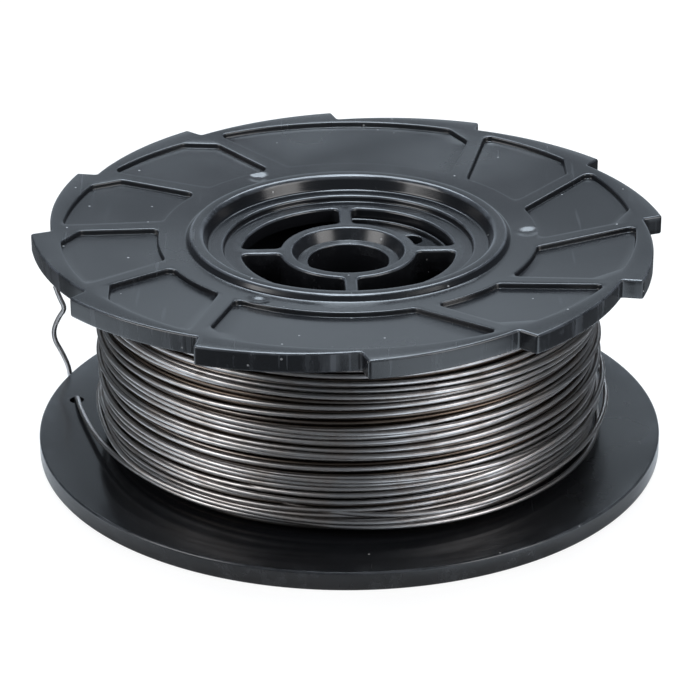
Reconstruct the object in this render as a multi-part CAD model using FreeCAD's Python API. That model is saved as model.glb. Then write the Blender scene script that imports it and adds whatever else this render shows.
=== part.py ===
"""Reel of soft steel binding wire: a one-piece moulded reel, its winding and the wire's free end.

Millimetres. The origin is the centre of the face the reel stands on, +Z runs up along the
reel's axis and the toothed flange is on top. Azimuths are counted from +X, anticlockwise
as seen from above.
"""
import FreeCAD, Part
import math
import os

V = FreeCAD.Vector

# Overall
HEIGHT = 36.1               # lower standing face to the top flange's rim
BORE_R = 6.2                # through bore of the hub
LOWER_FLANGE_R = 48.3
TOOTH_TIP_R = 48.0          # ratchet teeth of the upper flange
TOOTH_ROOT_R = 45.0
TOOTH_COUNT = 12
TOOTH_PHASE = 3.3           # azimuth of one tooth's tip, degrees
TOOTH_STEP_SLANT = 1.16     # how far the step's foot lies clockwise of its tip, degrees

# Flanges
FLANGE_T = 3.0              # thickness at the rim
DISH_R = 44.5               # the flat rim ends here and the upper flange dishes towards the hub
DISH_DEPTH = 1.8
TIP_ROUND = 0.4             # round on the teeth's tips

# Drum and collar
DRUM_R = 24.5
DRUM_WALL = 2.5
COLLAR_R = 24.0             # outer edge of the raised collar
COLLAR_FOOT = 0.7           # draft of the collar's outer side
COLLAR_DROP = 0.85          # collar's top below the rim's level
RECESS_DRAFT = 0.6          # draft of the wall inside the collar
LEDGE_DROP = 3.1            # ledge inside the collar, below the rim's level
LEDGE_W = 2.4

# Hub
WEB_DROP = 4.1              # web's top below the rim's level
WEB_T = 2.2
HUB_R = 10.4                # outside of the hub tube
HUB_SEAT_R = 8.6            # counterbore at the hub's mouth
HUB_SEAT_DRAFT = 0.9
HUB_SEAT_DEPTH = 1.8
HUB_LIFT = 1.2              # hub tube's lower end above the standing face
SLOT_R = 16.3               # outer edge of the four slots
SLOT_CORNER = 1.1
CUT_MARGIN = 1.0            # how far a cutter reaches past the face it opens
SPOKE_COUNT = 4
SPOKE_W = 2.0
SPOKE_PHASE = 1.9
RIB_LIFT = 2.4              # ribs' lower edges above the standing face
ROOT_OVERLAP = 0.8          # how far ribs and anchor web reach into the hub tube

# Anchor web in one slot, with the hole that the wire's first end is tied to
ANCHOR_DROP = 6.2
ANCHOR_T = 1.6
ANCHOR_R = 15.9
ANCHOR_LIP_W = 0.7
ANCHOR_LIP_H = 0.7
ANCHOR_HOLE_R = 1.7
ANCHOR_HOLE_AT = 13.0
ANCHOR_HOLE_AZ = 41.0

# Pockets in the dished top
POCKET_DEPTH = 0.8
POCKET_OUTER_R = 43.5
POCKET_INNER_R = 28.9
POCKET_PITCH = 30.0
LEAD_OUTER = 28.9           # leading wall's azimuth at the outer and the inner edge
LEAD_INNER = 19.2
TRAIL_BEVEL_R = 40.6        # where the bevelled corner meets the trailing wall
TRAIL_BEVEL = 1.4
TRAIL_INNER = -4.3
BEVEL_START = 7.6           # azimuth at which the bevel leaves the outer edge
POCKET_CELLS = [(0, 1), (1, 1), (2, 2), (4, 1), (5, 1), (6, 1), (7, 1), (8, 2), (10, 1), (11, 1)]

# Gate marks: three shallow dimples
DIMPLE_COUNT = 3
DIMPLE_AT = 27.4
DIMPLE_R = 2.2
DIMPLE_FLOOR_R = 1.2
DIMPLE_DEPTH = 0.5
DIMPLE_PHASE = 1.6

# Wire
WIRE_D = 0.8
WIRE_SIDES = 6              # sides of the section that carries the round wire's area
WINDING_INSET = 9.9         # full winding inside the lower flange's edge
WINDING_R = LOWER_FLANGE_R - WINDING_INSET
WINDING_GAP = 0.15          # winding to drum and flanges
BAND_COUNT = 8              # bands of turns that stand out of the winding
BAND_GROOVE = 1.0           # depth of the grooves between the bands

# Hole and groove that the wire's end passes through
END_HOLE_R = 1.15
END_HOLE_INSET = 4.4        # hole's centre inside the lower flange's edge
END_HOLE_AT = LOWER_FLANGE_R - END_HOLE_INSET
END_HOLE_AZ = 170.3
END_GROOVE_W = 2.0
END_GROOVE_DEPTH = 1.4
RISE_AZ = 157.0             # azimuth at which the end rises outside the lower rim
RISE_CLEARANCE = 1.0        # rim to the middle of the rising wire
RISE_AT = LOWER_FLANGE_R + RISE_CLEARANCE

# Route of the wire's end: distance from the axis, azimuth, height
TAIL_ROUTE = [
    (WINDING_R + 0.65, 262.0, 5.2),
    (WINDING_R + 0.70, 246.0, 5.1),
    (WINDING_R + 0.60, 230.0, 4.9),
    (WINDING_R + 0.45, 213.5, 4.7),
    (WINDING_R + 0.80, 197.5, 4.5),
    (WINDING_R + 2.10, 185.5, 4.4),
    (WINDING_R + 4.00, 176.5, 4.3),
    (END_HOLE_AT, END_HOLE_AZ, 4.1),
    (END_HOLE_AT, END_HOLE_AZ, 0.55),
    (RISE_AT - 3.10, 163.0, 0.55),
    (RISE_AT, RISE_AZ, 0.55),
    (RISE_AT + 0.10, RISE_AZ, 3.0),
    (RISE_AT + 1.30, RISE_AZ, 5.6),
    (RISE_AT + 2.55, RISE_AZ, 7.5),
    (RISE_AT + 2.60, RISE_AZ, 9.6),
    (RISE_AT + 1.40, RISE_AZ, 12.0),
    (RISE_AT + 0.25, RISE_AZ, 13.5),
    (RISE_AT + 1.30, RISE_AZ, 15.4),
    (RISE_AT + 1.90, RISE_AZ, 17.2),
]


def polar(radius, azimuth, z=0.0):
    """Point at a radius and an azimuth in degrees."""
    a = math.radians(azimuth)
    return V(radius * math.cos(a), radius * math.sin(a), z)


def turned(points):
    """Solid of revolution about Z from a closed half section of (radius, height) corners."""
    corners = [V(r, 0, z) for r, z in points]
    face = Part.Face(Part.makePolygon(corners + corners[:1]))
    return face.revolve(V(0, 0, 0), V(0, 0, 1), 360)


def arc_at(radius, start, end, z):
    """Arc about the axis between two azimuths."""
    middle = polar(radius, (start + end) / 2, z)
    return Part.Arc(polar(radius, start, z), middle, polar(radius, end, z)).toShape()


def line(a, b):
    return Part.LineSegment(a, b).toShape()


def upright_edges(solid):
    """Edges of a prism that run along Z."""
    found = []
    for edge in solid.Edges:
        a, b = edge.Vertexes[0].Point, edge.Vertexes[-1].Point
        if abs(a.x - b.x) < 1e-6 and abs(a.y - b.y) < 1e-6 and abs(a.z - b.z) > 1e-6:
            found.append(edge)
    return found


def ratchet_ring():
    """Toothed ring: each tooth grows clockwise from its root to its tip and then steps in."""
    pitch = 360 / TOOTH_COUNT
    run = pitch - TOOTH_STEP_SLANT
    base = HEIGHT - FLANGE_T
    edges = []
    for k in range(TOOTH_COUNT):
        tip = TOOTH_PHASE + k * pitch
        crest = polar(TOOTH_TIP_R, tip, base)
        middle = polar((TOOTH_TIP_R + TOOTH_ROOT_R) / 2, tip + run / 2, base)
        root = polar(TOOTH_ROOT_R, tip + run, base)
        edges.append(Part.Arc(crest, middle, root).toShape())
        edges.append(line(root, polar(TOOTH_TIP_R, tip + pitch, base)))
    outline = Part.Wire(edges)
    ring = Part.Face(outline).extrude(V(0, 0, FLANGE_T))
    ring = ring.makeFillet(TIP_ROUND, [e for e in upright_edges(ring) if at_tip(e)])
    return ring.cut(Part.makeCylinder(DISH_R, FLANGE_T, V(0, 0, base)))


def at_tip(edge):
    p = edge.Vertexes[0].Point
    return math.hypot(p.x, p.y) > (TOOTH_TIP_R + TOOTH_ROOT_R) / 2


def spool():
    """Turned body: both flanges, drum, collar, web and hub tube in one section."""
    top = HEIGHT
    drum_inner = DRUM_R - DRUM_WALL
    foot = COLLAR_R + COLLAR_FOOT
    web_under = top - WEB_DROP - WEB_T
    return turned([
        (BORE_R, HUB_LIFT),
        (HUB_R, HUB_LIFT),
        (HUB_R, web_under),
        (drum_inner, web_under),
        (drum_inner, 0),
        (LOWER_FLANGE_R, 0),
        (LOWER_FLANGE_R, FLANGE_T),
        (DRUM_R, FLANGE_T),
        (DRUM_R, top - FLANGE_T - DISH_DEPTH),
        (DISH_R, top - FLANGE_T),
        (DISH_R, top),
        (foot, top - DISH_DEPTH),
        (COLLAR_R, top - COLLAR_DROP),
        (drum_inner, top - COLLAR_DROP),
        (drum_inner - RECESS_DRAFT, top - LEDGE_DROP),
        (drum_inner - RECESS_DRAFT - LEDGE_W, top - LEDGE_DROP),
        (drum_inner - RECESS_DRAFT - LEDGE_W, top - WEB_DROP),
        (HUB_SEAT_R, top - WEB_DROP),
        (HUB_SEAT_R - HUB_SEAT_DRAFT, top - WEB_DROP - HUB_SEAT_DEPTH),
        (BORE_R, top - WEB_DROP - HUB_SEAT_DEPTH),
    ])


def slots():
    """Kidney slots between the spokes, cut through the web."""
    pitch = 360 / SPOKE_COUNT
    base = HEIGHT - WEB_DROP - WEB_T - CUT_MARGIN
    inner_half = math.degrees(math.asin(SPOKE_W / 2 / HUB_R))
    outer_half = math.degrees(math.asin(SPOKE_W / 2 / SLOT_R))
    cutters = []
    for k in range(SPOKE_COUNT):
        start = SPOKE_PHASE + k * pitch
        end = start + pitch
        wire = Part.Wire([
            arc_at(SLOT_R, start + outer_half, end - outer_half, base),
            line(polar(SLOT_R, end - outer_half, base), polar(HUB_R, end - inner_half, base)),
            arc_at(HUB_R, end - inner_half, start + inner_half, base),
            line(polar(HUB_R, start + inner_half, base), polar(SLOT_R, start + outer_half, base)),
        ])
        cutter = Part.Face(wire).extrude(V(0, 0, WEB_T + 2 * CUT_MARGIN))
        cutters.append(cutter.makeFillet(SLOT_CORNER, upright_edges(cutter)))
    return cutters


def ribs():
    """Ribs under the spokes, from the hub tube to the drum."""
    pitch = 360 / SPOKE_COUNT
    height = HEIGHT - WEB_DROP - WEB_T / 2 - RIB_LIFT
    inner = HUB_R - ROOT_OVERLAP
    outer = DRUM_R - DRUM_WALL / 2
    made = []
    for k in range(SPOKE_COUNT):
        rib = Part.makeBox(outer - inner, SPOKE_W, height, V(inner, -SPOKE_W / 2, RIB_LIFT))
        rib.rotate(V(0, 0, 0), V(0, 0, 1), SPOKE_PHASE + k * pitch)
        made.append(rib)
    return made


def anchor_web():
    """Recessed floor in one slot, with a lip along its outer edge and a tie hole."""
    top = HEIGHT - ANCHOR_DROP
    pitch = 360 / SPOKE_COUNT
    inner = HUB_R - ROOT_OVERLAP
    start = V(0, 0, top - ANCHOR_T)
    plate = Part.makeCylinder(ANCHOR_R, ANCHOR_T + ANCHOR_LIP_H, start, V(0, 0, 1), pitch)
    plate = plate.cut(Part.makeCylinder(inner, HEIGHT, V(0, 0, 0)))
    well = Part.makeCylinder(ANCHOR_R - ANCHOR_LIP_W, HEIGHT, V(0, 0, top))
    plate = plate.cut(well)
    plate.rotate(V(0, 0, 0), V(0, 0, 1), SPOKE_PHASE)
    hole = Part.makeCylinder(ANCHOR_HOLE_R, HEIGHT, polar(ANCHOR_HOLE_AT, ANCHOR_HOLE_AZ))
    return plate.cut(hole)


def pocket_prism(cell, cells):
    """Prism over one pocket: a swirled sector, bevelled at its outer trailing corner."""
    base = HEIGHT - FLANGE_T
    trail = cell * POCKET_PITCH
    lead = (cell + cells - 1) * POCKET_PITCH
    lead_out = polar(POCKET_OUTER_R, lead + LEAD_OUTER, base)
    lead_in = polar(POCKET_INNER_R, lead + LEAD_INNER, base)
    trail_in = polar(POCKET_INNER_R, trail + TRAIL_INNER, base)
    trail_out = polar(TRAIL_BEVEL_R, trail + TRAIL_BEVEL, base)
    bevel = polar(POCKET_OUTER_R, trail + BEVEL_START, base)
    wire = Part.Wire([
        arc_at(POCKET_OUTER_R, trail + BEVEL_START, lead + LEAD_OUTER, base),
        line(lead_out, lead_in),
        arc_at(POCKET_INNER_R, lead + LEAD_INNER, trail + TRAIL_INNER, base),
        line(trail_in, trail_out),
        line(trail_out, bevel),
    ])
    return Part.Face(wire).extrude(V(0, 0, 2 * FLANGE_T))


def pockets():
    """Pockets at one depth below the dished face."""
    foot = COLLAR_R + COLLAR_FOOT
    sky = HEIGHT + FLANGE_T
    above = turned([
        (foot, HEIGHT - DISH_DEPTH - POCKET_DEPTH),
        (DISH_R, HEIGHT - POCKET_DEPTH),
        (DISH_R, sky),
        (foot, sky),
    ])
    return [pocket_prism(cell, cells).common(above) for cell, cells in POCKET_CELLS]


def dish_height(radius):
    """Height of the upper flange's dished face."""
    foot = COLLAR_R + COLLAR_FOOT
    return HEIGHT - DISH_DEPTH * (DISH_R - radius) / (DISH_R - foot)


def dimples():
    """Shallow dishes with sloped sides, on a circle round the collar."""
    flare = (DIMPLE_R - DIMPLE_FLOOR_R) / DIMPLE_DEPTH
    mouth = DIMPLE_R + flare * CUT_MARGIN
    depth = DIMPLE_DEPTH + CUT_MARGIN
    floor = dish_height(DIMPLE_AT) - DIMPLE_DEPTH
    step = 360 / DIMPLE_COUNT
    return [Part.makeCone(DIMPLE_FLOOR_R, mouth, depth, polar(DIMPLE_AT, DIMPLE_PHASE + k * step, floor))
            for k in range(DIMPLE_COUNT)]


def end_passage():
    """Hole through the lower flange and the groove under it that lets the wire out at the rim."""
    at = polar(END_HOLE_AT, END_HOLE_AZ, 0)
    hole = Part.makeCylinder(END_HOLE_R, 2 * FLANGE_T, at)
    way = polar(RISE_AT + WIRE_D, RISE_AZ) - at
    groove = Part.makeBox(way.Length, END_GROOVE_W, END_GROOVE_DEPTH, V(0, -END_GROOVE_W / 2, 0))
    groove.rotate(V(0, 0, 0), V(0, 0, 1), math.degrees(math.atan2(way.y, way.x)))
    groove.translate(at)
    return [hole, groove]


def reel():
    """The whole moulding."""
    body = spool().cut(slots())
    body = body.fuse(ribs() + [anchor_web(), ratchet_ring()])
    body = body.removeSplitter()
    return body.cut(pockets() + dimples() + end_passage())


def wire_coil():
    """The winding as one turned solid between the flanges, its turns lying in bands."""
    inner = DRUM_R + WINDING_GAP
    bottom = FLANGE_T + WINDING_GAP
    top = HEIGHT - FLANGE_T - DISH_DEPTH - WINDING_GAP
    band = (top - bottom) / BAND_COUNT
    groove_r = WINDING_R - BAND_GROOVE
    outside = []
    for k in range(BAND_COUNT):
        low = bottom + k * band
        outside += [(groove_r, low), (WINDING_R, low + band / 2)]
    return turned([(inner, top), (inner, bottom)] + outside + [(groove_r, top)])


def wire_section(start, heading, diameter):
    """Many-sided outline round a run's start, with the area of the round wire."""
    side = heading.cross(V(0, 0, 1)).normalize()
    up = side.cross(heading).normalize()
    step = 2 * math.pi / WIRE_SIDES
    corner_r = diameter / 2 * math.sqrt(step / math.sin(step))
    corners = []
    for k in range(WIRE_SIDES):
        turn = (k + 0.5) * step
        corners.append(start + side * (corner_r * math.cos(turn)) + up * (corner_r * math.sin(turn)))
    return Part.makePolygon(corners + corners[:1])


def route_tube(points, diameter):
    """Tube along straight runs joined by tangent arcs; also the radii and the length."""
    corners = []
    radii = []
    for before, here, after in zip(points, points[1:], points[2:]):
        a = (before - here).normalize()
        b = (after - here).normalize()
        half_turn = (math.pi - a.getAngle(b)) / 2
        shorter = min((before - here).Length, (after - here).Length)
        setback = 0.45 * shorter
        radius = setback / math.tan(half_turn)
        radii.append(radius)
        inward = (a + b).normalize()
        centre_distance = radius / math.cos(half_turn)
        middle = here + inward * (centre_distance - radius)
        corners.append((here + a * setback, middle, here + b * setback))
    edges = []
    at = points[0]
    for start, middle, end in corners:
        edges.append(line(at, start))
        edges.append(Part.Arc(start, middle, end).toShape())
        at = end
    edges.append(line(at, points[-1]))
    spine = Part.Wire(edges)
    section = wire_section(points[0], points[1] - points[0], diameter)
    tube = spine.makePipeShell([section], True, False)
    return tube, radii, spine.Length


def wire_end():
    """Free end of the wire: round the winding, down its hole and up outside the rim."""
    points = [polar(*place) for place in TAIL_ROUTE]
    tube, radii, length = route_tube(points, WIRE_D)
    section = math.pi * WIRE_D ** 2 / 4
    print("wire end radii", [round(r, 1) for r in radii])
    print("wire end length %.1f, volume %.2f against %.2f" % (length, tube.Volume, section * length))
    return tube


def main():
    os.makedirs("parts", exist_ok=True)
    pieces = {"reel": reel(), "wire_coil": wire_coil(), "wire_end": wire_end()}
    for name, shape in pieces.items():
        solid = shape.Solids[0]
        print(name, "solids", len(shape.Solids), "valid", solid.isValid(), "volume %.0f" % solid.Volume)
        solid.exportStep("parts/%s.step" % name)


main()
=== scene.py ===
"""Looks of the reel of binding wire: moulded reel, winding, free wire end, light and camera.

The classes hold sizes in millimetres in the part's own frame: the origin is the centre of the
face the reel stands on and +Z is the reel's axis. Azimuths are degrees from +X, anticlockwise
from above. Points become metres when a mesh is made.
"""
import logging
import math
from collections.abc import Sequence
from dataclasses import dataclass, field
from enum import Enum

import bmesh
import bpy
import numpy as np
from mathutils import Matrix, Vector


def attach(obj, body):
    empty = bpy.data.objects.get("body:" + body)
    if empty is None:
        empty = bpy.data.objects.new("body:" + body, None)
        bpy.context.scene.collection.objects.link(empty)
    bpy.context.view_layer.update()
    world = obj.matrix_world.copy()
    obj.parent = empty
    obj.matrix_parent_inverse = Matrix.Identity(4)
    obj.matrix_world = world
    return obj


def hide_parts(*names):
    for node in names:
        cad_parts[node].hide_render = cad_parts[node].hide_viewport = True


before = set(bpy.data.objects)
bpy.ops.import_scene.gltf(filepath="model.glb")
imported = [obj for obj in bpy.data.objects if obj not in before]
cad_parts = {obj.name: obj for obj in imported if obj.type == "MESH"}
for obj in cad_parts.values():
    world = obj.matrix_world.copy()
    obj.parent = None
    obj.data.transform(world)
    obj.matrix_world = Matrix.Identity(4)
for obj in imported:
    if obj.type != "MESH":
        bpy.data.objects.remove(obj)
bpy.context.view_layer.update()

log = logging.getLogger("wire_reel")

MM = 0.001
BODY = "root"
SEED = 41


class Slot(Enum):
    """Material slots of the record."""

    PLASTIC = "reel_plastic"
    STEEL = "wire_steel"


# Shape tools


def polar(radius: np.ndarray | float, azimuth: np.ndarray | float, z: np.ndarray | float) -> np.ndarray:
    """Points at radii and azimuths: x is r cos a, y is r sin a.

    Args:
        radius: distance from the axis, mm.
        azimuth: degrees.
        z: height, mm.

    Returns:
        Array whose last axis is x, y, z.
    """
    r, a, h = np.broadcast_arrays(np.asarray(radius, float), np.radians(azimuth), np.asarray(z, float))
    return np.stack([r * np.cos(a), r * np.sin(a), h], axis=-1)


def with_height(flat: np.ndarray, z: np.ndarray | float) -> np.ndarray:
    """Adds a height to points of the plane."""
    return np.concatenate([flat, np.broadcast_to(z, flat.shape[:-1])[..., None]], axis=-1)


class ClosedPath:
    """Closed path in the plane whose sharp corners are rounded.

    The path runs anticlockwise through its sides, each a row of close points. A place on it is
    an arc length of the sharp path. Within radius * tan(turn / 2) of a corner the place is
    carried onto the fillet arc, in proportion.
    """

    def __init__(self, sides: Sequence[np.ndarray], radius: float) -> None:
        """Measures the sides and their corners.

        Args:
            sides: point rows, each starting where the one before ends.
            radius: fillet radius of every corner, mm.
        """
        self.radius = radius
        self.points = np.concatenate([side[:-1] for side in sides] + [sides[0][:1]])
        steps = np.linalg.norm(np.diff(self.points, axis=0), axis=1)
        self.place = np.concatenate([[0.0], np.cumsum(steps)])
        self.length = float(self.place[-1])
        starts = np.cumsum([0] + [len(side) - 1 for side in sides])
        self.corners = self.place[starts[:-1]]
        self.ends = self.place[starts[1:]]
        self.turns = [self._turn(sides[k - 1], side) for k, side in enumerate(sides)]

    @staticmethod
    def _turn(before: np.ndarray, after: np.ndarray) -> tuple[np.ndarray, np.ndarray, float]:
        """Corner point, heading before it and turn angle, positive to the left."""
        a = before[-1] - before[-2]
        b = after[1] - after[0]
        a = a / np.linalg.norm(a)
        b = b / np.linalg.norm(b)
        return after[0], a, math.atan2(a[0] * b[1] - a[1] * b[0], float(a @ b))

    def side(self, index: int, fractions: np.ndarray) -> np.ndarray:
        """Places at fractions of one side's length."""
        return self.corners[index] + fractions * (self.ends[index] - self.corners[index])

    def at(self, place: np.ndarray) -> np.ndarray:
        """Points of the rounded path.

        Args:
            place: arc lengths along the sharp path, mm.

        Returns:
            Array of x, y.
        """
        place = np.mod(place, self.length)
        x = np.interp(place, self.place, self.points[:, 0])
        y = np.interp(place, self.place, self.points[:, 1])
        found = np.stack([x, y], axis=-1)
        for corner, (point, heading, turn) in zip(self.corners, self.turns):
            reach = self.radius * math.tan(abs(turn) / 2)
            if reach < 1e-4:
                continue
            off = np.mod(place - corner + self.length / 2, self.length) - self.length / 2
            near = np.abs(off) < reach
            entry = point - heading * reach
            left = np.array([-heading[1], heading[0]]) * math.copysign(self.radius, turn)
            angle = (off[near] + reach) / (2 * reach) * turn
            spin = np.stack([np.cos(angle), np.sin(angle)], axis=-1)
            arm = -left
            turned = np.stack([arm[0] * spin[:, 0] - arm[1] * spin[:, 1],
                               arm[0] * spin[:, 1] + arm[1] * spin[:, 0]], axis=-1)
            found[near] = entry + left + turned
        return found

    def outward(self, place: np.ndarray) -> np.ndarray:
        """Unit normals to the right of travel, from points 0.02 mm before and after."""
        run = self.at(place + 0.02) - self.at(place - 0.02)
        run = run / np.linalg.norm(run, axis=-1, keepdims=True)
        return np.stack([run[:, 1], -run[:, 0]], axis=-1)


def straight(a: np.ndarray, b: np.ndarray, count: int = 24) -> np.ndarray:
    """Row of points on the straight line from a to b."""
    return a + (b - a) * np.linspace(0, 1, count)[:, None]


def round_row(radius: float, start: float, end: float, count: int = 120) -> np.ndarray:
    """Row of points on an arc about the axis, azimuths in degrees."""
    return polar(radius, np.linspace(start, end, count), 0.0)[:, :2]


def bunched(count: int, length: float, near: float, share: float = 0.3) -> np.ndarray:
    """Fractions from 0, without 1, closer together near both ends of a side.

    Args:
        count: number of fractions.
        length: the side's length, mm.
        near: length at each end that gets the closer points, mm.
        share: share of the points that goes to each end.

    Returns:
        Rising array in [0, 1).
    """
    close = int(count * share)
    knots = [0, close, count - close, count]
    reach = min(near / length, 0.4)
    return np.interp(np.arange(count), knots, [0, reach, 1 - reach, 1])


@dataclass(frozen=True)
class Bend:
    """Corner of a half section: distance from the axis, height and rounding radius, mm."""

    r: float
    z: float
    round: float = 0.0
    step: float = 5.0


def half_section(bends: Sequence[Bend], arc_steps: int = 4) -> tuple[np.ndarray, np.ndarray]:
    """Section points along straight sides and the fillets between them.

    A fillet leaves a side at round * tan(turn / 2) before its corner and has equal angle steps.

    Args:
        bends: corners in order; the step of one bounds the point spacing after it.
        arc_steps: segments in each fillet.

    Returns:
        Points (r, z), and for each how far it lies on a convex edge, 0 to 1.
    """
    corners = np.array([(b.r, b.z) for b in bends])
    rows: list[np.ndarray] = []
    edge_share: list[float] = []
    for k, bend in enumerate(bends):
        here = corners[k]
        if 0 < k < len(bends) - 1 and bend.round > 0:
            a = (corners[k - 1] - here) / np.linalg.norm(corners[k - 1] - here)
            b = (corners[k + 1] - here) / np.linalg.norm(corners[k + 1] - here)
            half = math.acos(float(np.clip(a @ b, -1, 1))) / 2
            reach = bend.round / math.tan(half)
            centre = here + (a + b) / np.linalg.norm(a + b) * bend.round / math.sin(half)
            first = here + a * reach - centre
            last = here + b * reach - centre
            sweep = math.atan2(first[0] * last[1] - first[1] * last[0], float(first @ last))
            for angle in np.linspace(0, sweep, arc_steps + 1):
                c, s = math.cos(angle), math.sin(angle)
                rows.append(centre + np.array([first[0] * c - first[1] * s, first[0] * s + first[1] * c]))
                edge_share.append(math.sin(math.pi * angle / sweep) if sweep > 0 else 0.0)
        else:
            rows.append(here)
            edge_share.append(0.0)
        if k < len(bends) - 1:
            after = corners[k + 1]
            gap = float(np.linalg.norm(after - here))
            extra = int(gap / bend.step)
            for share in np.linspace(0, 1, extra + 2)[1:-1]:
                point = here + (after - here) * share
                reach_here = bend.round * 1.3
                reach_after = bends[k + 1].round * 1.3
                if reach_here < share * gap < gap - reach_after:
                    rows.append(point)
                    edge_share.append(0.0)
    return np.array(rows), np.array(edge_share)


class Surface:
    """Closed surface put together from grids of points whose borders match."""

    def __init__(self) -> None:
        """Starts with no patches."""
        self.points: list[np.ndarray] = []
        self.faces: list[np.ndarray] = []
        self.edge_share: list[np.ndarray] = []
        self.along: list[np.ndarray] = []
        self.count = 0

    def add(self, grid: np.ndarray, edge_share: np.ndarray | float = 0.0, closed: bool = False,
            along: np.ndarray | None = None) -> None:
        """Adds one patch.

        Args:
            grid: points of shape (rows, columns, 3), mm.
            edge_share: how far each row or point lies on a rounded edge, 0 to 1; it sets rubbed wear and a painted
                highlight.
            closed: whether the last column joins the first.
            along: length along the piece at each point, for the finish.
        """
        rows, columns = grid.shape[:2]
        wear_highlight = np.asarray(edge_share, float)
        if wear_highlight.ndim == 1:
            wear_highlight = wear_highlight[:, None]
        number = self.count + np.arange(rows * columns).reshape(rows, columns)
        if closed:
            number = np.concatenate([number, number[:, :1]], axis=1)
        a, b = number[:-1, :-1], number[:-1, 1:]
        c, d = number[1:, 1:], number[1:, :-1]
        self.faces.append(np.stack([a, b, c, d], axis=-1).reshape(-1, 4))
        self.points.append(grid.reshape(-1, 3))
        self.edge_share.append(np.broadcast_to(wear_highlight, (rows, columns)).reshape(-1))
        length = np.zeros((rows, columns)) if along is None else along
        self.along.append(np.broadcast_to(length, (rows, columns)).reshape(-1))
        self.count += rows * columns

    def lid(self, ring: np.ndarray, along: float = 0.0) -> None:
        """Closes a ring of points with a fan about its middle."""
        middle = np.broadcast_to(ring.mean(axis=0), ring.shape)
        self.add(np.stack([ring, middle]), closed=True, along=np.full((2, len(ring)), along))

    def build(self, name: str, sharp: float = 40.0) -> bpy.types.Object:
        """Makes the object: borders merged, faces outward, smooth between sharp edges.

        Args:
            name: the piece's name.
            sharp: edges that turn by more than this stay sharp, degrees.

        Returns:
            The new object, linked to the scene.
        """
        mesh = bpy.data.meshes.new(name)
        points = np.concatenate(self.points) * MM
        mesh.from_pydata(points.tolist(), [], np.concatenate(self.faces).tolist())
        for key, rows in (("edge_share", self.edge_share), ("along", self.along)):
            layer = mesh.attributes.new(key, "FLOAT", "POINT")
            layer.data.foreach_set("value", np.concatenate(rows).astype(np.float32))
        work = bmesh.new()
        work.from_mesh(mesh)
        bmesh.ops.remove_doubles(work, verts=work.verts, dist=1e-6)
        bmesh.ops.recalc_face_normals(work, faces=work.faces)
        work.to_mesh(mesh)
        work.free()
        mesh.shade_smooth()
        mesh.set_sharp_from_angle(angle=math.radians(sharp))
        made = bpy.data.objects.new(name, mesh)
        bpy.context.scene.collection.objects.link(made)
        return made


def turned(surface: Surface, bends: Sequence[Bend], columns: int, arc_steps: int = 4) -> None:
    """Adds a closed solid of revolution: each section point goes round a full circle.

    Args:
        surface: takes the patch.
        bends: section corners, first and last the same place.
        columns: points round the circle.
        arc_steps: segments in each fillet.
    """
    section, edge_share = half_section(bends, arc_steps)
    azimuth = np.arange(columns) * 360 / columns
    grid = polar(section[:, :1], azimuth[None], section[:, 1:])
    surface.add(grid, edge_share, closed=True)


def tube(surface: Surface, line: np.ndarray, radius: float, sides: int, start: float = 0.0) -> None:
    """Adds a round tube: a circle carried along a line, square to it, with closed ends.

    Across the line, one arm points away from the reel's axis and the other is the cross
    product of the heading and that arm.

    Args:
        surface: takes the patch.
        line: points of shape (n, 3), mm.
        radius: tube radius, mm.
        sides: points round the circle.
        start: length already run before the first point, mm.
    """
    heading = np.gradient(line, axis=0)
    heading = heading / np.linalg.norm(heading, axis=1, keepdims=True)
    out = line * np.array([1.0, 1.0, 0.0])
    out = out - heading * np.sum(out * heading, axis=1, keepdims=True)
    out = out / np.linalg.norm(out, axis=1, keepdims=True)
    up = np.cross(heading, out)
    angle = np.arange(sides) * 2 * math.pi / sides
    ring = np.cos(angle)[None, :, None] * out[:, None] + np.sin(angle)[None, :, None] * up[:, None]
    grid = line[:, None] + radius * ring
    run = np.concatenate([[0.0], np.cumsum(np.linalg.norm(np.diff(line, axis=0), axis=1))]) + start
    surface.add(grid, closed=True, along=np.broadcast_to(run[:, None], grid.shape[:2]))
    surface.lid(grid[0], float(run[0]))
    surface.lid(grid[-1], float(run[-1]))


# Reel


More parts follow.
